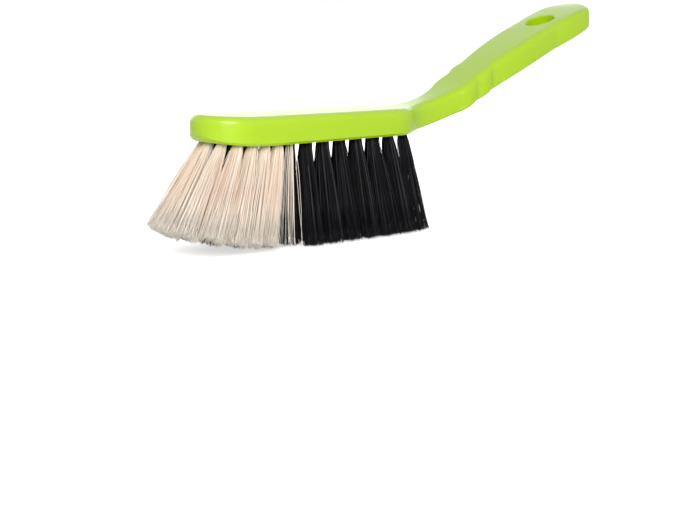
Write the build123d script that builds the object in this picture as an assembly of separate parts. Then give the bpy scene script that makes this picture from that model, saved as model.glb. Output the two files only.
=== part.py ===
# A hand broom: one moulded body with a waisted, finger-lobed handle, and tufts of cream and of black
# bristles, each tuft folded round a flat steel anchor and driven into its own blind hole.
# Millimetres, +Z up. The broom stands on its bristle tips, which lie in the plane z = 0.
# Stations run along the broom, from the tip of the block's nose to the handle's end.

from build123d import *
import math
import os

os.makedirs("parts", exist_ok=True)

# The block
bristle_height = 61.0           # from the plane of the tips up to the flat underside
block_thickness = 17.0
block_half_width = 22.5
nose_length = 25.2              # the nose is half an ellipse in plan
side_draw_in = 0.9              # how far each side closes from the nose to the shoulder
shoulder_station = 136.7        # where the sides turn in towards the neck
nose_lift_length = 42.7         # over this length from the nose the block turns up
underside_nose_lift = 3.4
top_nose_lift = 1.5
nose_round_radius = 7.0         # of the rounding of the nose's lower edge
nose_round_rise = 3.0           # its ring is tipped up by this at the nose, so that it fades out on the sides
nose_round_setback = 2.5        # and centred this much behind the middle of the nose's ellipse
underside_flat_end = 138.7
top_flat_end = 145.7            # where the top starts to sweep up into the handle
top_fall = 0.7                  # the top sinks this much on its way to the neck

# The neck and the handle
neck_station = 170.7
neck_half_width = 10.6
grip_half_width = 22.4
overall_length = 322.7
sweep_station = 206.2           # where the upward sweep ends and the arched grip begins
sweep_top_rise = 15.9
sweep_underside_rise = 16.0
grip_top_rise = 50.0            # further rise to the handle's end
grip_underside_rise = 53.0

# The finger lobes: places are shares of the length from neck to end, widths are shares of the grip's
valley_place_shares = [0.165, 0.267, 0.350, 0.720]
valley_width_shares = [0.670, 0.700, 0.725, 0.893]
crest_place_shares = [0.2145, 0.3135, 0.541, 0.805]
crest_width_shares = [0.770, 0.790, 0.880, 0.973]
end_place_share = 0.925
end_width_share = 0.945
valley_radius = 4.0
end_corner_radius = 12.0

# Edges
top_edge_radius = 5.0           # drawn as three narrow bands, which need far fewer facets than a rolled edge
band_turn = math.pi / 8         # from each band to the next
level_share = 0.85              # a face whose normal points up by more than this is the top itself
slanted_share = 0.5             # by more than this, and less, a band
upright_share = 0.1             # and by less than this, a wall
underside_edge_chamfer = 1.5
hole_edge_chamfer = 0.8

# The hanging hole, square to the top of the grip
hanging_hole_diameter = 20.0
hanging_hole_from_end = 37.5

# The rows of tufts
outer_row_inset = 6.5           # from the block's side to the centres of the outermost tufts
cream_pitch = 9.3               # along the ring round the nose
nose_each_side = 2              # cream tufts each side of the one at the nose's tip
cream_row_count = 4             # and further back along each side
black_pitch = 13.2
outer_row_start = 66.8
outer_row_count = 7
inner_row_start = 19.8
centre_row_start = 27.2
middle_row_count = 10

# The holes, and the tufts and anchors in them
black_hole_diameter = 6.0
cream_hole_diameter = 5.0
hole_depth = 12.5
plug_clearance = 0.1            # round the folded tuft in its hole
plug_end_gap = 1.0              # above it, in the bottom of the hole
hole_sides = 12                 # of each tuft's hole, and of the plug in it
anchor_thickness = 0.4
anchor_height = 2.0
anchor_depth = 9.0              # from the mouth of the hole to the anchor's middle
anchor_bite = 0.4               # how far each end is driven into the wall of the hole
anchor_clearance = 0.05         # between the anchor and the bristles folded round it

# The bristles
bristle_length = 62.5           # free length in the middle of the broom, before the tips are cut level
nose_bristle_length = 59.5
nose_lean = 30.0                # how far the tips at the nose reach forwards
rear_lean = 8.5
upright_station = 64.2          # here the bristles lean neither forwards nor backwards
side_lean_share = 0.56          # sideways lean, as a share of the distance from the centre line
nose_side_lean_share = 0.35     # added to that at the nose
hole_tilt_share = 0.8           # how much of the lean the drilled hole already has
strands_round = 5               # round one in the middle
thin_tuft_strands = 3
root_ring_share = 0.6           # radius of the ring of strands, as a share of the hole's radius
strand_share = 0.27             # half the diagonal of a strand, as a share of the hole's radius
strand_root_depth = 1.0         # how far up inside the tuft the strands start
strand_sides = 3
tip_spread = 6.0                # radius of the ring of strands at the tips

cut_overrun = 5.0
match_gap = 0.5                 # a corner of the outline is found when it lies this near its place

grip_length = overall_length - neck_station
shoulder_half_width = block_half_width - side_draw_in
outer_row_offset = block_half_width - outer_row_inset
inner_row_offset = outer_row_offset / 2
nose_ring_station = nose_length - outer_row_offset
rear_station = outer_row_start + black_pitch * (outer_row_count - 1)
foremost_tip = nose_ring_station - nose_lean - tip_spread - strand_share * cream_hole_diameter / 2
origin_station = (foremost_tip + overall_length) / 2


def arc_radius(run, rise):
    """Radius of the arc that leaves its tangent by this rise over this run."""
    return (run ** 2 + rise ** 2) / (2 * rise)


def arc_rise(run, radius):
    """How far an arc has left its tangent after a run."""
    return radius - math.sqrt(radius ** 2 - run ** 2)


side_radius = arc_radius(shoulder_station - nose_length, side_draw_in)
shoulder_run = (neck_station - shoulder_station) / 2
shoulder_radius = arc_radius(shoulder_run, (shoulder_half_width - neck_half_width) / 2)
underside_nose_radius = arc_radius(nose_lift_length, underside_nose_lift)
top_nose_radius = arc_radius(nose_lift_length, top_nose_lift)


def half_width_at(station):
    """Half the width of the block, from the nose to the turn towards the neck."""
    if station <= nose_length:
        return block_half_width * math.sqrt(1 - ((nose_length - station) / nose_length) ** 2)
    if station <= shoulder_station:
        return block_half_width - arc_rise(station - nose_length, side_radius)
    return shoulder_half_width - arc_rise(station - shoulder_station, shoulder_radius)


def underside_at(station):
    """Height of the block's underside, which turns up towards the nose."""
    run = max(nose_lift_length - station, 0)
    return bristle_height + arc_rise(run, underside_nose_radius)


def plan_face():
    """The broom seen from above: nose, sides, neck, finger lobes and rounded end."""
    along = (1, 0)
    shoulder = (shoulder_station, shoulder_half_width)
    neck = (neck_station, neck_half_width)
    turn = (shoulder_station + shoulder_run, (shoulder_half_width + neck_half_width) / 2)

    def grip_point(place, width):
        return (neck_station + grip_length * place, grip_half_width * width)

    valleys = [grip_point(p, w) for p, w in zip(valley_place_shares, valley_width_shares)]
    crests = [grip_point(p, w) for p, w in zip(crest_place_shares, crest_width_shares)]
    corner = grip_point(end_place_share, end_width_share)

    nose = EllipticalCenterArc((nose_length, 0), nose_length, block_half_width, 90, arc_size=90)
    side = TangentArc((nose_length, block_half_width), shoulder, tangent=along)
    turn_in = TangentArc(shoulder, turn, tangent=along)
    turn_back = TangentArc(neck, turn, tangent=(-1, 0))
    flare = TangentArc(neck, valleys[0], tangent=along)
    lobes = [ThreePointArc(start, crest, end)
             for start, crest, end in zip(valleys, crests, valleys[1:] + [corner])]
    half = [nose, side, turn_in, turn_back, flare, *lobes]
    other_half = [edge.mirror(Plane.XZ) for edge in half]
    cap = ThreePointArc(corner, (overall_length, 0), (corner[0], -corner[1]))
    outline = make_face([*half, *other_half, cap])

    def near(places, vertex):
        return any(abs(vertex.X - place[0]) < match_gap for place in places)

    outline = fillet(outline.vertices().filter_by(lambda v: near(valleys, v)), valley_radius)
    return fillet(outline.vertices().filter_by(lambda v: near([corner], v)), end_corner_radius)


def arc_from(start, angle, end):
    """The arc that leaves start at an angle and ends at end: its radius, centre and last angle."""
    chord = math.hypot(end[0] - start[0], end[1] - start[1])
    chord_angle = math.atan2(end[1] - start[1], end[0] - start[0])
    radius = chord / (2 * math.sin(chord_angle - angle))
    centre = (start[0] - radius * math.sin(angle), start[1] + radius * math.cos(angle))
    return radius, centre, 2 * chord_angle - angle


# Corners of the side view, as stations and heights
profile_end = overall_length + cut_overrun
block_top = bristle_height + block_thickness
top_line_start = (nose_lift_length, block_top)
top_line_end = (top_flat_end, block_top - top_fall)
top_sweep_end = (sweep_station, top_line_end[1] + sweep_top_rise)
top_end = (profile_end, top_sweep_end[1] + grip_top_rise)
under_sweep_start = (underside_flat_end, bristle_height)
under_sweep_end = (sweep_station, bristle_height + sweep_underside_rise)
under_end = (profile_end, under_sweep_end[1] + grip_underside_rise)
top_line_angle = -math.atan2(top_fall, top_flat_end - nose_lift_length)
sweep_radius, sweep_centre, sweep_angle = arc_from(top_line_end, top_line_angle, top_sweep_end)
crown_radius, crown_centre, crown_angle = arc_from(top_sweep_end, sweep_angle, top_end)


def direction(angle):
    return (math.cos(angle), math.sin(angle))


def profile_face():
    """The broom seen from its side: block, upward sweep and arched grip."""
    front = -cut_overrun
    under_front = (front, bristle_height + arc_rise(nose_lift_length - front, underside_nose_radius))
    under_line_start = (nose_lift_length, bristle_height)
    top_front = (front, block_top + arc_rise(nose_lift_length - front, top_nose_radius))
    back = (-1, 0)

    under_nose = TangentArc(under_line_start, under_front, tangent=back)
    under_line = Line(under_line_start, under_sweep_start)
    under_sweep = TangentArc(under_sweep_start, under_sweep_end, tangent=(1, 0))
    under_grip = TangentArc(under_sweep_end, under_end, tangent=under_sweep % 1)
    end_line = Line(under_end, top_end)
    crown = TangentArc(top_sweep_end, top_end, tangent=direction(sweep_angle))
    sweep = TangentArc(top_line_end, top_sweep_end, tangent=direction(top_line_angle))
    top_line = Line(top_line_start, top_line_end)
    top_nose = TangentArc(top_line_start, top_front, tangent=(top_line % 0) * -1)
    front_line = Line(top_front, under_front)
    underside = [under_nose, under_line, under_sweep, under_grip]
    top = [crown, sweep, top_line, top_nose]
    return make_face([*underside, end_line, *top, front_line])


def crown_height(station):
    """Height of the arched top of the grip."""
    return crown_centre[1] + math.sqrt(crown_radius ** 2 - (station - crown_centre[0]) ** 2)


def crown_slope(station):
    """Slope of the grip's top, as an angle."""
    return math.asin((crown_centre[0] - station) / abs(crown_radius))


def rim_edges(body, upwards):
    """The edges where the top, or the underside, meets the walls."""
    rims = []
    for face in body.faces():
        if face.normal_at().Z * upwards < slanted_share:
            continue
        for edge in face.edges():
            across = edge.geom_type == GeomType.LINE and abs((edge % 0.5).Y) > abs((edge % 0.5).X)
            if not across:
                rims.append(edge)
    return rims


def edges_between(body, low, high=math.inf):
    """The edges of the faces whose normals point up by between these two shares."""
    faces = [face for face in body.faces() if low < face.normal_at().Z < high]
    return [edge for face in faces for edge in face.edges()]


def banded_rim(body):
    """Round the top edge: one band at half a right angle, then one along each of its two edges."""
    first_leg = top_edge_radius * (2 - math.sqrt(2))
    next_leg = top_edge_radius * (math.tan(band_turn) - math.tan(band_turn / 2))
    body = chamfer(rim_edges(body, 1), first_leg)
    walls = edges_between(body, -upright_share, upright_share)
    others = set(edges_between(body, level_share) + walls)
    creases = [edge for edge in edges_between(body, slanted_share, level_share) if edge in others]
    return chamfer(creases, next_leg)


def lean_at(station, offset):
    """How far the tips of a tuft reach forwards or backwards, and sideways, of its root."""
    forward_share = (upright_station - station) / (upright_station - nose_ring_station)
    if forward_share > 0:
        return -nose_lean * forward_share, offset * (side_lean_share + nose_side_lean_share * forward_share)
    backward_share = (station - upright_station) / (rear_station - upright_station)
    return rear_lean * backward_share, offset * side_lean_share


def hole_axis(station, offset):
    """The line of a drilled hole, from its mouth up into the block."""
    lean = lean_at(station, offset)
    tilt = hole_tilt_share / bristle_height
    return Vector(-lean[0] * tilt, -lean[1] * tilt, 1).normalized()


def mouth_of(station, offset):
    return Vector(station, offset, underside_at(station))


def polygon(centre, radius, sides):
    """A level polygon with one corner towards the nose."""
    turns = [math.pi + 2 * math.pi * n / sides for n in range(sides)]
    corners = [centre + Vector(radius * math.cos(t), radius * math.sin(t), 0) for t in turns]
    return Wire.make_polygon(corners)


def prism(start, travel, radius):
    """A many-sided bar with level ends."""
    return Solid.extrude(Face(polygon(start, radius, hole_sides)), travel)


def drilled_hole(station, offset, diameter):
    """A blind hole, kept to a few flat sides so that all the holes together stay light."""
    axis = hole_axis(station, offset)
    outside = mouth_of(station, offset) - axis * cut_overrun
    return prism(outside, axis * (cut_overrun + hole_depth), diameter / 2)


def anchor_plane(station, offset):
    """Across the hole at the anchor's depth, with its X axis along the row."""
    axis = hole_axis(station, offset)
    across = Vector(0, 1, 0).cross(axis)
    return Plane(mouth_of(station, offset) + axis * anchor_depth, x_dir=across, z_dir=axis)


def anchor(station, offset, diameter):
    """A short length of flat wire, longer than the hole is wide."""
    width = diameter + 2 * anchor_bite
    return anchor_plane(station, offset) * Box(width, anchor_thickness, anchor_height)


def tuft(station, offset, diameter, strands):
    """A folded bundle that fills its hole, and the bristles that fan out of it, as one solid."""
    mouth = mouth_of(station, offset)
    axis = hole_axis(station, offset)
    lean = lean_at(station, offset)
    forward_share = max(-lean[0] / nose_lean, 0)
    length = bristle_length + (nose_bristle_length - bristle_length) * forward_share
    drop = math.sqrt(length ** 2 - lean[0] ** 2 - lean[1] ** 2)
    tip = Vector(station + lean[0], offset + lean[1], max(mouth.Z - drop, 0))

    plug = prism(mouth, axis * (hole_depth - plug_end_gap), diameter / 2 - plug_clearance)

    root = mouth + axis * strand_root_depth
    half_diagonal = strand_share * diameter / 2
    ring_radius = root_ring_share * diameter / 2
    places = [(0, 0)] if strands > thin_tuft_strands else []
    ring_count = strands - len(places)
    for n in range(ring_count):
        turn = math.pi + 2 * math.pi * n / ring_count
        places.append((math.cos(turn), math.sin(turn)))
    bristles = []
    for x, y in places:
        start = root + Vector(x * ring_radius, y * ring_radius, 0)
        end = tip + Vector(x * tip_spread, y * tip_spread, 0)
        sections = [polygon(start, half_diagonal, strand_sides), polygon(end, half_diagonal, strand_sides)]
        bristles.append(Solid.make_loft(sections, True))
    whole = plug.fuse(*bristles)
    slit = Box(diameter, anchor_thickness + 2 * anchor_clearance, anchor_height + 2 * anchor_clearance)
    return whole - anchor_plane(station, offset) * slit


def ring_place(index):
    """A place on the ring of tufts that runs up one side, round the nose and down the other."""
    travel = abs(index) * cream_pitch
    side = -1 if index < 0 else 1
    quarter = outer_row_offset * math.pi / 2
    if travel <= quarter:
        angle = travel / outer_row_offset
        return (nose_length - outer_row_offset * math.cos(angle), side * outer_row_offset * math.sin(angle))
    return (nose_length + travel - quarter, side * outer_row_offset)


def row(start, count):
    """The stations of a row of black tufts."""
    return [start + black_pitch * n for n in range(count)]


def outer_offset(station):
    return half_width_at(station) - outer_row_inset


full_tuft = strands_round + 1
last_cream = nose_each_side + cream_row_count
side_indices = range(nose_each_side + 1, last_cream + 1)
nose_indices = range(nose_each_side + 1)
cream = cream_hole_diameter
black = black_hole_diameter


def strands_of(index):
    return thin_tuft_strands if index == last_cream else full_tuft


# The rows on the centre line and on the right-hand side: the place of every tuft, its hole and strands.
# The rows on the left are their mirror images.
nose_tufts = [(*ring_place(i), cream, full_tuft) for i in nose_indices]
cream_side = [(*ring_place(i), cream, strands_of(i)) for i in side_indices]
black_outer = [(s, outer_offset(s), black, full_tuft) for s in row(outer_row_start, outer_row_count)]
black_inner = [(s, inner_row_offset, black, full_tuft) for s in row(inner_row_start, middle_row_count)]
black_centre = [(s, 0, black, full_tuft) for s in row(centre_row_start, middle_row_count)]


def mirrored(entries):
    return [(entry[0], -entry[1], *entry[2:]) for entry in entries]


side_tufts = nose_tufts[1:] + cream_side + black_outer + black_inner
all_tufts = nose_tufts + cream_side + black_outer + black_inner + black_centre
all_tufts = all_tufts + mirrored(side_tufts)


def nose_round():
    """What rounds the nose's lower edge: a tipped ring with a concave inner corner."""
    centre = nose_length + nose_round_setback
    tip = math.atan2(nose_round_rise, centre)
    outer = centre / math.cos(tip)
    inner = outer - nose_round_radius
    beyond = outer + cut_overrun
    low = -nose_round_radius
    under = low - block_thickness
    arc = RadiusArc((inner, low), (outer, 0), -nose_round_radius)
    rest = Polyline((outer, 0), (beyond, 0), (beyond, under), (inner, under), (inner, low))
    ring = revolve(Plane.XZ * make_face([arc, rest]), Axis.Z, 360)
    return Pos(centre, 0, bristle_height + nose_round_radius) * Rot(0, math.degrees(tip), 0) * ring


def broom_body():
    """Block, neck and handle in one moulding, with its drilled holes and its hanging hole."""
    height = top_end[1] + cut_overrun
    body = extrude(plan_face(), amount=height)
    body = body & extrude(Plane.XZ * profile_face(), amount=block_half_width + cut_overrun, both=True)
    body = banded_rim(body)
    body = chamfer(rim_edges(body, -1), underside_edge_chamfer)
    front = nose_length + nose_round_setback + cut_overrun
    block_front = Pos(0, 0, bristle_height) * Box(2 * front, 2 * front, 2 * block_thickness)
    body = body - (nose_round() & block_front)
    body = body.cut(*[drilled_hole(*entry[:3]) for entry in all_tufts])

    station = overall_length - hanging_hole_from_end
    slope = crown_slope(station)
    centre = Vector(station, 0, crown_height(station))
    across = Plane(centre, z_dir=(-math.sin(slope), 0, math.cos(slope)))
    before = body.edges()
    body = body - across * Cylinder(hanging_hole_diameter / 2, 2 * block_thickness + cut_overrun)
    return chamfer(body.edges() - before, hole_edge_chamfer), across


if __name__ == "__main__":
    to_origin = Pos(-origin_station, 0, 0)
    body, hole_plane = broom_body()

    def tufts(entries):
        return [tuft(*entry) for entry in entries]

    def left_of(solids):
        return [solid.mirror(Plane.XZ) for solid in solids]

    nose = tufts(nose_tufts)
    cream_right = tufts(cream_side)
    outer_right = tufts(black_outer)
    inner_right = tufts(black_inner)
    solids_of = {
        "broom_body": [body],
        "tuft_anchors": [anchor(*entry[:3]) for entry in all_tufts],
        "cream_nose_tufts": nose + left_of(nose[1:]),
        "cream_tufts_left": left_of(cream_right),
        "cream_tufts_right": cream_right,
        "black_outer_tufts_left": left_of(outer_right),
        "black_inner_tufts_left": left_of(inner_right),
        "black_centre_tufts": tufts(black_centre),
        "black_inner_tufts_right": inner_right,
        "black_outer_tufts_right": outer_right,
    }
    for name, solids in solids_of.items():
        export_step(to_origin * Compound(solids), "parts/" + name + ".step")
    print("tufts", len(all_tufts), "strands", sum(entry[3] for entry in all_tufts))
    print("hanging hole: centre", hole_plane.origin - Vector(origin_station, 0, 0), "axis", hole_plane.z_dir)
    print("origin is at station", origin_station)
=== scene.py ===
# The looks of the hand broom: a glossy lime body, and tufts of fine filaments with split, uneven tips.
# The CAD body and anchors keep their shapes and get their materials. Each row of CAD tufts is replaced
# by filaments that leave the same holes and fan out further.
# Lengths in the tuft layout and in the bristle settings are millimetres, as in the CAD source, and are
# turned into metres when a mesh is made. All other lengths are metres.

import bpy
import math
import numpy as np
from mathutils import Matrix, Vector


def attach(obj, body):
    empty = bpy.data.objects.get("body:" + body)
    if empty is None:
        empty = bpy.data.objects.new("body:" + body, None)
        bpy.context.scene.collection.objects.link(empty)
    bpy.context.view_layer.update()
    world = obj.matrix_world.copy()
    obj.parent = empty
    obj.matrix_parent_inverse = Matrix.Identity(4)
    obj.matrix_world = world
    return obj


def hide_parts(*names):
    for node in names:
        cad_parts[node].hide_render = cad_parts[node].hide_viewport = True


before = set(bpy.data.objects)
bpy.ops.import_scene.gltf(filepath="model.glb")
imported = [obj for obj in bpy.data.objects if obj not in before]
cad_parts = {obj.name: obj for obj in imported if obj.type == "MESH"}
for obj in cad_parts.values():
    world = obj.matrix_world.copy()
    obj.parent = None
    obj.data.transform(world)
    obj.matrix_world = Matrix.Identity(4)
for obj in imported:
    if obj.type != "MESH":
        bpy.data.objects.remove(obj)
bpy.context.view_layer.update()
print("frame loaded")

mm = 0.001


def link(name, data):
    # puts a new object into the scene
    made = bpy.data.objects.new(name, data)
    bpy.context.scene.collection.objects.link(made)
    return made


# Where every tuft starts, by the rules of the CAD source, and where its tips are. Stations run along the
# broom from the tip of the block's nose. The tufts are fuller here than in the CAD source, and those
# along the sides lean a little further forwards.
layout = {
    "originStation": 147.6125,
    "bristleHeight": 61.0,      # of the block's flat underside above the floor
    "blockHalfWidth": 22.5,
    "noseLength": 25.2,
    "noseLiftLength": 42.7,
    "noseLift": 3.4,
    "sideDrawIn": 0.9,
    "shoulderStation": 136.7,
    "neckStation": 170.7,
    "neckHalfWidth": 10.6,
    "outerInset": 6.5,
    "creamPitch": 9.3,
    "noseEachSide": 2,
    "creamRowCount": 4,
    "blackPitch": 13.2,
    "outerStart": 66.8,
    "outerCount": 7,
    "innerStart": 19.8,
    "centreStart": 27.2,
    "middleCount": 10,
    "bristleLength": 62.5,
    "noseBristleLength": 59.5,
    "noseLean": 30.0,           # how far the tips of the foremost tuft reach forwards
    "rearLean": 7.5,            # how far those of the rearmost outer tufts reach backwards
    "uprightStation": {"cream": 92.0, "sparse": 72.0, "black": 66.0},   # leans neither way here
    "sideLeanShare": {"cream": 0.36, "sparse": 0.45, "black": 0.56},    # of the offset from the middle
    "noseSideLeanShare": 0.35,  # what the foremost tufts add to that
    "holeTiltShare": 0.8,       # how much of the lean the hole already has
    "floorGap": 0.1,            # the least height of a filament's corners above the floor
}


def arcRise(run, fullRun, fullRise):
    # how far an arc has left its tangent after a run: its radius, less the square root of the radius
    # squared less the run squared. The arc rises by fullRise over fullRun, so its radius is the sum of
    # both squares over twice the rise.
    radius = (fullRun ** 2 + fullRise ** 2) / (2 * fullRise)
    return radius - math.sqrt(radius ** 2 - run ** 2)


def halfWidthAt(station):
    # the sides draw in along one arc as far as the shoulder, and along a tighter one behind it
    shoulder, drawIn = layout["shoulderStation"], layout["sideDrawIn"]
    atShoulder = layout["blockHalfWidth"] - drawIn
    if station <= shoulder:
        run = max(station - layout["noseLength"], 0)
        return layout["blockHalfWidth"] - arcRise(run, shoulder - layout["noseLength"], drawIn)
    halfTurn = (layout["neckStation"] - shoulder) / 2
    return atShoulder - arcRise(station - shoulder, halfTurn, (atShoulder - layout["neckHalfWidth"]) / 2)


def mouthHeight(station):
    # the underside is flat, and lifts along an arc towards the nose
    length = layout["noseLiftLength"]
    return layout["bristleHeight"] + arcRise(max(length - station, 0), length, layout["noseLift"])


def ringPlace(index):
    # equal steps along a path that rounds the nose by a quarter circle on each side and then runs
    # straight back; step 0 is the foremost one, and negative ones are on the left
    radius = layout["blockHalfWidth"] - layout["outerInset"]
    travel = abs(index) * layout["creamPitch"]
    side = -1 if index < 0 else 1
    quarter = radius * math.pi / 2
    if travel <= quarter:
        angle = travel / radius
        return layout["noseLength"] - radius * math.cos(angle), side * radius * math.sin(angle)
    return layout["noseLength"] + travel - quarter, side * radius


def tuftLine(station, offset, kind):
    # root at the hole's mouth, the hole's direction, and the middle of the tips. The lean forwards grows
    # in proportion to the distance in front of the upright station, and the lean backwards in proportion
    # to the distance behind it. The drop squared is the bristle's length squared less both leans squared.
    noseStation = layout["noseLength"] - layout["blockHalfWidth"] + layout["outerInset"]
    upright, sideways = layout["uprightStation"][kind], layout["sideLeanShare"][kind]
    share = (upright - station) / (upright - noseStation)
    rearStation = layout["outerStart"] + layout["blackPitch"] * (layout["outerCount"] - 1)
    if share > 0:
        lean = (-layout["noseLean"] * share, offset * (sideways + layout["noseSideLeanShare"] * share))
    else:
        back = (station - upright) / (rearStation - upright)
        lean = (layout["rearLean"] * back, offset * sideways)
        share = 0
    length = layout["bristleLength"] + (layout["noseBristleLength"] - layout["bristleLength"]) * share
    mouth = np.array([station - layout["originStation"], offset, mouthHeight(station)])
    drop = math.sqrt(length ** 2 - lean[0] ** 2 - lean[1] ** 2)
    tip = np.array([mouth[0] + lean[0], mouth[1] + lean[1], max(mouth[2] - drop, 0)])
    tilt = layout["holeTiltShare"] / layout["bristleHeight"]
    axis = np.array([-lean[0] * tilt, -lean[1] * tilt, 1.0])
    return mouth, axis / np.linalg.norm(axis), tip


def blackStations(start, count):
    # equal steps of one pitch, back from the start
    return [start + layout["blackPitch"] * number for number in range(count)]


def outerOffset(station):
    # the outer rows follow the block's side, one inset within it
    return halfWidthAt(station) - layout["outerInset"]


# the inner rows run straight, half as far out as the cream tufts along the sides
innerOffset = (layout["blockHalfWidth"] - layout["outerInset"]) / 2
outerStations = blackStations(layout["outerStart"], layout["outerCount"])
innerStations = blackStations(layout["innerStart"], layout["middleCount"])
centreStations = blackStations(layout["centreStart"], layout["middleCount"])
nose = layout["noseEachSide"]
sideSteps = range(nose + 1, nose + layout["creamRowCount"] + 1)
rows = {
    "cream_nose_tufts": [ringPlace(step) for step in range(-nose, nose + 1)],
    "cream_tufts_left": [ringPlace(-step) for step in sideSteps],
    "cream_tufts_right": [ringPlace(step) for step in sideSteps],
    "black_outer_tufts_left": [(station, -outerOffset(station)) for station in outerStations],
    "black_inner_tufts_left": [(station, -innerOffset) for station in innerStations],
    "black_centre_tufts": [(station, 0.0) for station in centreStations],
    "black_inner_tufts_right": [(station, innerOffset) for station in innerStations],
    "black_outer_tufts_right": [(station, outerOffset(station)) for station in outerStations],
}


# Materials
noiseRange = (0.3, 0.7)         # most of a noise texture's values lie between these


def newMaterial(name):
    material = bpy.data.materials.new(name)
    material.use_nodes = True
    return material, material.node_tree, material.node_tree.nodes["Principled BSDF"]


def setInputs(shader, values):
    for key, value in values.items():
        shader.inputs[key].default_value = value


def linear(srgb):
    # sRGB of 0 to 255, as linear light
    c = np.array(srgb) / 255
    return tuple(np.where(c <= 0.04045, c / 12.92, ((c + 0.055) / 1.055) ** 2.4)) + (1.0,)


def mixColours(tree, factor):
    # blends colour A into colour B as the factor goes from 0 to 1
    mix = tree.nodes.new("ShaderNodeMix")
    mix.data_type = "RGBA"
    tree.links.new(factor, mix.inputs["Factor"])
    return mix


def addNoise(tree, scale, detail):
    # a noise that lies still on the piece, because it reads the piece's own coordinates
    place = tree.nodes.new("ShaderNodeTexCoord")
    noise = tree.nodes.new("ShaderNodeTexNoise")
    setInputs(noise, {"Scale": scale, "Detail": detail})
    tree.links.new(place.outputs["Object"], noise.inputs["Vector"])
    return noise.outputs["Fac"]


def spreadNoise(tree, noise, low, high):
    # the noise, stretched so that its usual range runs from low to high
    spread = tree.nodes.new("ShaderNodeMapRange")
    setInputs(spread, {"From Min": noiseRange[0], "From Max": noiseRange[1], "To Min": low, "To Max": high})
    tree.links.new(noise, spread.inputs["Value"])
    return spread.outputs["Result"]


bodySettings = {
    "colour": (168, 205, 14),
    "flowColour": (171, 208, 18),
    "flowNoise": (22.0, 3.0),   # scale and detail, as for the other noises
    "roughness": (0.22, 0.27),
    "smearNoise": (70.0, 4.0),
    "grainNoise": (2200.0, 2.0),
    "grainStrength": 0.05,
    "grainHeight": 0.00002,
    "coat": 0.2,
    "coatRoughness": 0.12,
    "subsurface": 0.12,
    "subsurfaceRadius": (0.004, 0.004, 0.001),
    "weldDistance": 0.000001,
    "splitAngle": 40.0,         # degrees; edges sharper than this stay sharp
}


def makeBodyMaterial():
    # moulded plastic: faint flow marks in its colour, uneven gloss and a fine grain
    material, tree, shader = newMaterial("limePlastic")
    flow = mixColours(tree, spreadNoise(tree, addNoise(tree, *bodySettings["flowNoise"]), 0.0, 1.0))
    setInputs(flow, {"A": linear(bodySettings["colour"]), "B": linear(bodySettings["flowColour"])})
    tree.links.new(flow.outputs["Result"], shader.inputs["Base Color"])
    gloss = spreadNoise(tree, addNoise(tree, *bodySettings["smearNoise"]), *bodySettings["roughness"])
    tree.links.new(gloss, shader.inputs["Roughness"])
    grain = tree.nodes.new("ShaderNodeBump")
    setInputs(grain, {"Strength": bodySettings["grainStrength"], "Distance": bodySettings["grainHeight"]})
    tree.links.new(addNoise(tree, *bodySettings["grainNoise"]), grain.inputs["Height"])
    tree.links.new(grain.outputs["Normal"], shader.inputs["Normal"])
    setInputs(shader, {"Coat Weight": bodySettings["coat"], "Coat Roughness": bodySettings["coatRoughness"],
                       "Subsurface Weight": bodySettings["subsurface"],
                       "Subsurface Radius": bodySettings["subsurfaceRadius"], "Subsurface Scale": 1.0})
    return material


def dressBody():
    # the CAD's loose triangles are welded and shaded smooth, and its sharp edges stay sharp
    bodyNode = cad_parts["broom_body"]
    bodyNode.data.materials.clear()
    bodyNode.data.materials.append(makeBodyMaterial())
    bodyNode.data.polygons.foreach_set("use_smooth", np.ones(len(bodyNode.data.polygons), bool))
    weld = bodyNode.modifiers.new("weld", "WELD")
    weld.merge_threshold = bodySettings["weldDistance"]
    split = bodyNode.modifiers.new("split", "EDGE_SPLIT")
    split.split_angle = math.radians(bodySettings["splitAngle"])
    weighted = bodyNode.modifiers.new("weighted", "WEIGHTED_NORMAL")
    weighted.keep_sharp = True
    print("body done")


anchorSettings = {
    "colour": (150, 150, 155),
    "roughness": (0.25, 0.5),
    "drawnNoise": (3000.0, 2.0),
}


def makeAnchorMaterial():
    # flat steel wire of uneven gloss
    material, tree, shader = newMaterial("anchorSteel")
    gloss = spreadNoise(tree, addNoise(tree, *anchorSettings["drawnNoise"]), *anchorSettings["roughness"])
    tree.links.new(gloss, shader.inputs["Roughness"])
    setInputs(shader, {"Base Color": linear(anchorSettings["colour"]), "Metallic": 1.0})
    return material


def dressAnchors():
    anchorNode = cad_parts["tuft_anchors"]
    anchorNode.data.materials.clear()
    anchorNode.data.materials.append(makeAnchorMaterial())
    print("anchors done")


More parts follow.
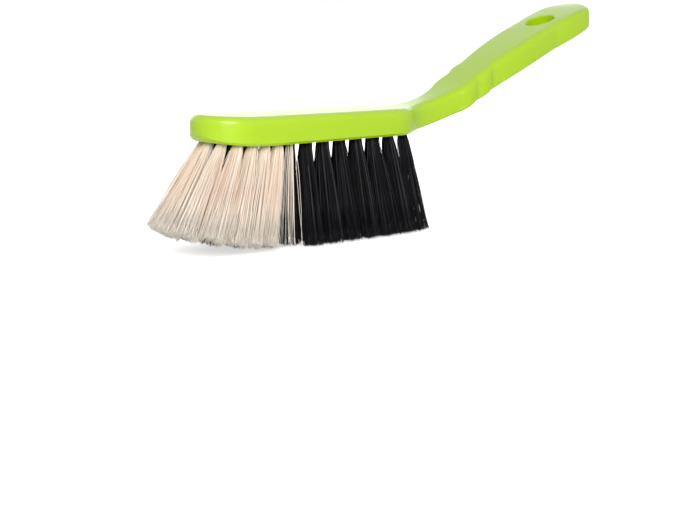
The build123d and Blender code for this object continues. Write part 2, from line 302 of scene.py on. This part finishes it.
def makeBristleMaterial(name, settings):
    # each filament's own random value picks its colour from the ramp, which turns towards the tip colour at
    # its end. On the black filaments the light end of the ramp is painted sheen streaks as well as random
    # tone.
    material, tree, shader = newMaterial(name)
    shade = tree.nodes.new("ShaderNodeAttribute")
    shade.attribute_name = "shade"
    along = tree.nodes.new("ShaderNodeAttribute")
    along.attribute_name = "along"
    tint = tree.nodes.new("ShaderNodeValToRGB")
    stops = tint.color_ramp.elements
    while len(stops) < len(settings["tonesAndSheen"]):
        stops.new(0.5)          # anywhere between the first and the last; the next loop places it
    for stop, (place, colour) in zip(stops, settings["tonesAndSheen"]):
        stop.position = place
        stop.color = linear(colour)
    tree.links.new(shade.outputs["Fac"], tint.inputs["Fac"])
    tipAmount = tree.nodes.new("ShaderNodeMapRange")
    setInputs(tipAmount, {"From Min": settings["tipFrom"], "From Max": 1.0, "To Max": settings["tipAmount"]})
    tree.links.new(along.outputs["Fac"], tipAmount.inputs["Value"])
    tipMix = mixColours(tree, tipAmount.outputs["Result"])
    tipMix.inputs["B"].default_value = linear(settings["tip"])
    tree.links.new(tint.outputs["Color"], tipMix.inputs["A"])
    tree.links.new(tipMix.outputs["Result"], shader.inputs["Base Color"])
    setInputs(shader, {"Roughness": settings["roughness"], "Specular IOR Level": settings["specular"]})
    return material


creamSettings = {
    "slot": "cream_bristle",
    "holeRadius": 2.35,
    "rootDepth": 2.0,           # how far up in its hole a filament starts
    "filaments": 210,
    "thickness": 0.36,
    "thicknessRange": (0.8, 1.15),
    "tipSpread": 7.4,           # radius of the tuft at its tips
    "fanPower": 0.6,            # below 1, a tuft opens faster near its root
    "scatter": 0.7,
    "strayShare": 0.02,         # of the filaments, which are scattered strayReach times as far
    "strayReach": 3.0,
    "lengthSpread": 1.3,
    "bow": 0.5,
    "shadeFrom": 0.0,
    "sides": 4,
    "steps": (0.0, 0.12, 0.35, 0.7, 1.02),      # of the way to where a filament splits
    "taper": (1.0, 1.0, 1.0, 0.95, 0.8),
    "splitFrom": (0.86, 0.985),                 # of a filament's whole length
    "splitHairs": 3,
    "splitSpread": 0.5,
    "hairSides": 3,
    "hairSteps": (0.0, 0.5, 1.0),               # of the way from there to its end
    "hairTaper": (0.65, 0.55, 0.35),
    "hairOpening": (0.0, 0.4, 1.0),             # how far the hairs have parted at those steps
    "tonesAndSheen": [(0.0, (232, 202, 178)), (0.5, (248, 228, 208)), (1.0, (253, 246, 234))],
    "tip": (255, 252, 242),
    "tipFrom": 0.5,
    "tipAmount": 0.7,
    "roughness": 0.45,
    "specular": 0.4,
}
# the rearmost cream tuft of each side has few filaments, pale ones, and opens wide
sparseSettings = dict(creamSettings, filaments=18, tipSpread=9.5, shadeFrom=0.6)
# black filaments: the ramp's light grey top stop is partly random filament tone and partly painted sheen,
# standing in for highlight streaks along shiny black filaments
blackSettings = dict(creamSettings, slot="black_bristle", holeRadius=2.6, thickness=0.38, tipSpread=6.5,
                     tonesAndSheen=[(0.0, (1, 1, 2)), (0.65, (8, 8, 10)), (1.0, (72, 71, 80))],
                     tip=(40, 39, 44), tipAmount=0.5, specular=0.15)
settingsOf = {"cream": creamSettings, "sparse": sparseSettings, "black": blackSettings}


def tubes(paths, radii, sides, tonesAndSheen, alongs):
    # closed tubes round many paths of the same number of points, all running downwards. Each corner is
    # its path's point plus the radius there times the cosine and the sine of its turn round the tube.
    count, steps = paths.shape[:2]
    turns = 2 * np.pi * np.arange(sides) / sides
    circle = np.stack([np.cos(turns), np.sin(turns), np.zeros(sides)], 1)
    points = paths[:, :, None, :] + radii[:, :, None, None] * circle[None, None]
    index = np.arange(count * steps * sides).reshape(count, steps, sides)
    upper, lower = index[:, :-1], index[:, 1:]
    walls = np.stack([upper, lower, np.roll(lower, -1, 2), np.roll(upper, -1, 2)], -1).reshape(-1, 4)
    caps = np.concatenate([index[:, 0], index[:, -1, ::-1]])
    shade = np.broadcast_to(tonesAndSheen[:, None, None], (count, steps, sides)).ravel()
    along = np.broadcast_to(alongs[:, :, None], (count, steps, sides)).ravel()
    return points.reshape(-1, 3), (walls, caps), shade, along


def tuftTubes(place, kind, rng):
    # the filaments of one tuft as one set of tubes, and the hairs that they split into as another
    settings = settingsOf[kind]
    mouth, axis, tip = tuftLine(*place, kind)
    n = settings["filaments"]
    angle = rng.uniform(0, 2 * np.pi, n)
    reach = np.sqrt(rng.uniform(0, 1, n))
    disc = np.stack([np.cos(angle), np.sin(angle), np.zeros(n)], 1) * reach[:, None]
    root = mouth + disc * settings["holeRadius"] + axis * settings["rootDepth"]
    stray = rng.normal(0, settings["scatter"], (n, 3)) * [1, 1, 0]
    stray[rng.uniform(0, 1, n) < settings["strayShare"]] *= settings["strayReach"]
    # the ends lie square to the tuft's own direction, uneven by a little, and never below the floor
    offset = disc * settings["tipSpread"] + stray
    ends = tip + offset
    way = tip - mouth
    ends[:, 2] += np.abs(rng.normal(0, settings["lengthSpread"], n)) - (offset @ way) / way[2]
    ends[:, 2] = np.maximum(ends[:, 2], 0)
    # a filament runs from root to end, with the fan opening faster near the root, and bows a little:
    # place = root + chord times t + bow times sin(pi t) + fan times (t to the fan's power minus t)
    chord = ends - root
    fan = disc * (settings["tipSpread"] - settings["holeRadius"])
    bow = rng.normal(0, settings["bow"], (n, 3)) * [1, 1, 0]

    def at(shares):
        t = shares[:, :, None]
        opening = fan[:, None, :] * (t ** settings["fanPower"] - t)
        return root[:, None, :] + chord[:, None, :] * t + opening + np.sin(np.pi * t) * bow[:, None, :]

    split = rng.uniform(*settings["splitFrom"], n)[:, None]
    steps = split * np.array(settings["steps"])
    hairSteps = split + (1 - split) * np.array(settings["hairSteps"])
    tonesAndSheen = rng.uniform(settings["shadeFrom"], 1, n)
    radius = settings["thickness"] / 2 * rng.uniform(*settings["thicknessRange"], n)
    radii = radius[:, None] * np.array(settings["taper"])
    filaments = tubes(at(steps), radii, settings["sides"], tonesAndSheen, steps)
    # a hair follows its filament's own course, plus its spread times how far the hairs have parted
    hairs = settings["splitHairs"]
    spread = rng.normal(0, settings["splitSpread"], (n * hairs, 3)) * [1, 1, 0]
    spread[:, 2] = np.abs(rng.normal(0, settings["splitSpread"], n * hairs))
    parted = spread[:, None, :] * np.array(settings["hairOpening"])[None, :, None]
    paths = np.repeat(at(hairSteps), hairs, 0) + parted
    thin = np.repeat(radius, hairs)[:, None] * np.array(settings["hairTaper"])
    return filaments, tubes(paths, thin, settings["hairSides"], np.repeat(tonesAndSheen, hairs),
                            np.repeat(hairSteps, hairs, 0))


def makeBristles(node, colour, material, seed):
    # all tufts of one row as one mesh, with each corner's shade and its share of the filament's length
    rng = np.random.default_rng(seed)
    points, faces, tonesAndSheen, alongs, total = [], [], [], [], 0
    for number, place in enumerate(rows[node]):
        rearmost = number == len(rows[node]) - 1
        kind = "sparse" if node.startswith("cream_tufts") and rearmost else colour
        for corners, faceGroups, shade, along in tuftTubes(place, kind, rng):
            points.append(corners)
            for group in faceGroups:
                faces += (group + total).tolist()
            tonesAndSheen.append(shade)
            alongs.append(along)
            total += len(corners)
    points = np.concatenate(points) * mm
    points[:, 2] = np.maximum(points[:, 2], layout["floorGap"] * mm)
    name = "bristles_" + node
    mesh = bpy.data.meshes.new(name)
    mesh.from_pydata(points, [], faces)
    for attribute, values in (("shade", tonesAndSheen), ("along", alongs)):
        layer = mesh.attributes.new(attribute, "FLOAT", "POINT")
        layer.data.foreach_set("value", np.concatenate(values).astype(np.float32))
    mesh.polygons.foreach_set("use_smooth", np.ones(len(mesh.polygons), bool))
    mesh.materials.append(material)
    mesh.update()
    piece = link(name, mesh)
    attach(piece, "root")
    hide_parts(node)
    print("made", name, "of", len(mesh.polygons), "faces")


# Floor, light, background and camera
stageSettings = {
    "floorSize": 40.0,
    "floorColour": (255, 255, 255),
    "floorRoughness": 0.7,
    "floorSpecular": 0.1,
    "floorGlow": 0.62,          # for the camera alone, so that the floor is as white as the background
    "worldStrength": 0.46,      # of the light on the object; the camera and reflections see 1
    "lights": {
        "frontLight": {"place": (-0.52, -0.66, 0.48), "size": (0.6, 0.6), "power": 6.6, "glossy": True},
        "backFill": {"place": (0.50, 0.75, 0.22), "size": (0.6, 0.4), "power": 3.0, "glossy": False},
        "backPanel": {"place": (1.25, 1.45, 0.45), "size": (3.0, 0.8), "power": 4.5, "glossy": True},
    },
    "lookAt": (0.0, 0.0, 0.07),
    "cameraPlace": (-0.633313, -0.706277, 0.146243),
    "cameraRight": (0.766044, -0.642788, 0.0),
    "cameraUp": (0.110514, 0.131705, 0.985109),
    "cameraForward": (0.633216, 0.754638, -0.171929),
    "sensor": 36.0,             # millimetres
    "focalPixels": 1500.0,
    "imageWidth": 680.0,
    "clip": (0.01, 100.0),
}


def switchByRay(tree, rays, low, high, target):
    # the target gets high for the named kinds of ray, and low for all others
    path = tree.nodes.new("ShaderNodeLightPath")
    seen = path.outputs[rays[0]]
    for ray in rays[1:]:
        either = tree.nodes.new("ShaderNodeMath")
        either.operation = "MAXIMUM"
        tree.links.new(seen, either.inputs[0])
        tree.links.new(path.outputs[ray], either.inputs[1])
        seen = either.outputs[0]
    strength = tree.nodes.new("ShaderNodeMapRange")
    setInputs(strength, {"To Min": low, "To Max": high})
    tree.links.new(seen, strength.inputs["Value"])
    tree.links.new(strength.outputs["Result"], target)


def makeFloor():
    half = stageSettings["floorSize"] / 2
    corners = [(-half, -half, 0), (half, -half, 0), (half, half, 0), (-half, half, 0)]
    mesh = bpy.data.meshes.new("floor")
    mesh.from_pydata(corners, [], [(0, 1, 2, 3)])
    floor = link("floor", mesh)
    material, tree, shader = newMaterial("paleFloor")
    setInputs(shader, {"Base Color": linear(stageSettings["floorColour"]), "Emission Color": (1, 1, 1, 1),
                       "Roughness": stageSettings["floorRoughness"],
                       "Specular IOR Level": stageSettings["floorSpecular"]})
    switchByRay(tree, ["Is Camera Ray"], 0.0, stageSettings["floorGlow"], shader.inputs["Emission Strength"])
    mesh.materials.append(material)


def makeLights():
    for name, light in stageSettings["lights"].items():
        data = bpy.data.lights.new(name, "AREA")
        data.shape = "RECTANGLE"
        data.size, data.size_y = light["size"]
        data.energy = light["power"]
        lamp = link(name, data)
        lamp.location = light["place"]
        towards = Vector(stageSettings["lookAt"]) - Vector(light["place"])
        lamp.rotation_euler = towards.to_track_quat("-Z", "Y").to_euler()
        lamp.visible_camera = False
        lamp.visible_glossy = light["glossy"]


def makeWorld():
    world = bpy.data.worlds.new("whiteWorld")
    bpy.context.scene.world = world
    world.use_nodes = True
    background = world.node_tree.nodes["Background"]
    background.inputs["Color"].default_value = (1, 1, 1, 1)
    switchByRay(world.node_tree, ["Is Camera Ray", "Is Glossy Ray"], stageSettings["worldStrength"], 1.0,
                background.inputs["Strength"])


def makeCamera():
    data = bpy.data.cameras.new("camera")
    data.sensor_width = stageSettings["sensor"]
    data.lens = stageSettings["focalPixels"] * stageSettings["sensor"] / stageSettings["imageWidth"]
    data.clip_start, data.clip_end = stageSettings["clip"]
    camera = link("camera", data)
    right, up, forward = (stageSettings[k] for k in ("cameraRight", "cameraUp", "cameraForward"))
    turn = Matrix([(right[i], up[i], -forward[i]) for i in range(3)]).to_4x4()
    camera.matrix_world = Matrix.Translation(stageSettings["cameraPlace"]) @ turn
    bpy.context.scene.camera = camera


dressBody()
dressAnchors()
bristleMaterials = {"cream": makeBristleMaterial("creamBristle", creamSettings),
                    "black": makeBristleMaterial("blackBristle", blackSettings)}
for seed, node in enumerate(rows):
    colour = node.split("_")[0]
    makeBristles(node, colour, bristleMaterials[colour], seed)
makeFloor()
makeLights()
makeWorld()
makeCamera()
bpy.context.scene.view_settings.view_transform = "Standard"
print("stage, lights and camera done")
